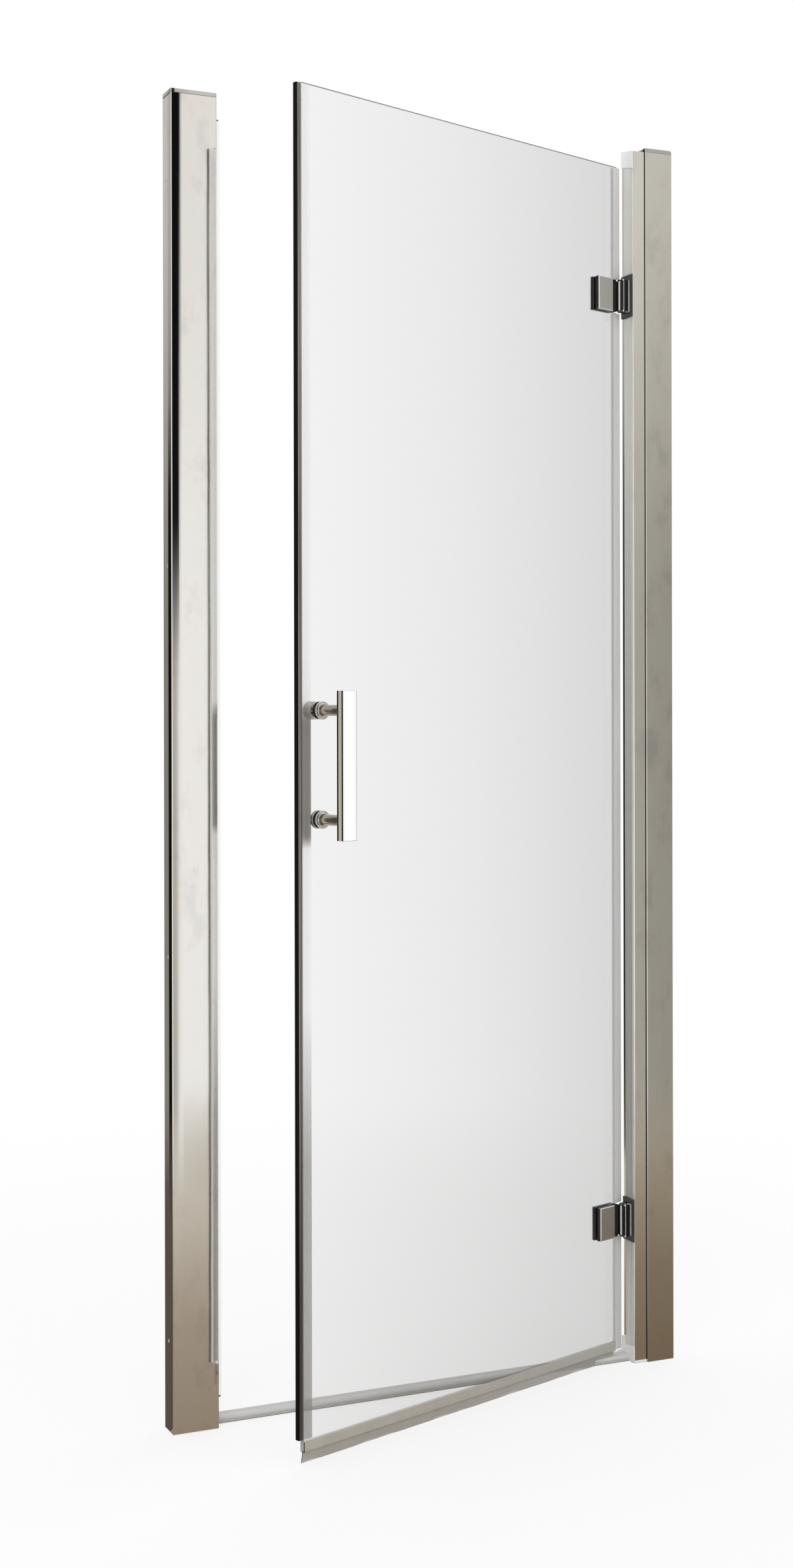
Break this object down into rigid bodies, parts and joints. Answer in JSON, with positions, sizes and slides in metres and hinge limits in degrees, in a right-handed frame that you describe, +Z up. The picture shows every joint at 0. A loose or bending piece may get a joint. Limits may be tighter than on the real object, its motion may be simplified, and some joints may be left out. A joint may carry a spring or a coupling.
{
  "type": "hinged shower door",
  "caption": "Framed recess shower door: a clear glass leaf on two pivot hinges between slim bright posts, with magnetic seals, a low threshold and a bar handle.",
  "frame": {"origin": "on the tray, under the threshold bar, half way between the two walls and at the middle of the posts' depth", "axes": "+X along the doorway towards the hinge side, +Y into the shower, +Z up; the door opens towards -Y"},
  "size_m": [0.8, 0.2666, 1.85],
  "materials": {
    "bright_aluminium": "bright polished, anodised",
    "plain_aluminium": "plain mill finish",
    "silver_plastic": "silver, smooth",
    "white_plastic": "white, smooth moulded",
    "clear_pvc": "clear, slightly milky",
    "soft_pvc": "soft, translucent grey",
    "black_rubber": "matt black",
    "magnet_strip": "black magnetic rubber",
    "steel": "plain stainless",
    "chrome": "polished chrome plate",
    "satin_chrome": "satin face, bright bevels",
    "black_plate": "black, satin",
    "dark_metal": "dark polished plate",
    "clear_glass": "clear toughened"
  },
  "bodies": {
    "frame": {"strike_jamb": "bright_aluminium", "wall_channel_left": "plain_aluminium", "wall_channel_right": "bright_aluminium", "hinge_jamb": "bright_aluminium", "top_cap_left": "silver_plastic", "top_cap_right": "silver_plastic", "jamb_top_block": "white_plastic", "jamb_foot": "white_plastic", "jamb_infill_strips": "clear_pvc", "channel_wipers": "black_rubber", "strike_seal": "clear_pvc", "strike_magnet": "magnet_strip", "threshold_bar": "bright_aluminium", "threshold_tape": "black_rubber", "threshold_end_left": "white_plastic", "threshold_end_right": "white_plastic", "locking_screws": "steel", "screw_caps": "white_plastic", "upper_hinge_body": "chrome", "lower_hinge_body": "chrome", "upper_hinge_plate": "black_plate", "lower_hinge_plate": "black_plate", "hinge_pins": "steel", "hinge_body_screws": "steel", "hinge_nut_plates": "steel"},
    "door": {"glass_panel": "clear_glass", "upper_hinge_leaf": "dark_metal", "lower_hinge_leaf": "dark_metal", "upper_clamp_cover": "satin_chrome", "lower_clamp_cover": "satin_chrome", "upper_clamp_back": "chrome", "lower_clamp_back": "chrome", "clamp_gaskets": "black_rubber", "clamp_bushes": "white_plastic", "clamp_screws": "steel", "magnetic_seal": "clear_pvc", "door_magnet": "magnet_strip", "hinge_side_seal": "clear_pvc", "bottom_seal": "clear_pvc", "drip_fin": "soft_pvc", "handle_bar": "chrome", "handle_posts": "chrome", "handle_roses": "chrome", "handle_washers": "black_rubber", "handle_studs": "steel", "inner_knob": "chrome", "inner_cap": "chrome"}
  },
  "joints": [
    {"name": "door_swing", "type": "hinge", "parent": "frame", "child": "door", "pos_m": [0.3253, 0, 0], "axis": [0, 0, 1], "range_deg": [-19, 76], "deforming": ["drip_fin"]}
  ]
}
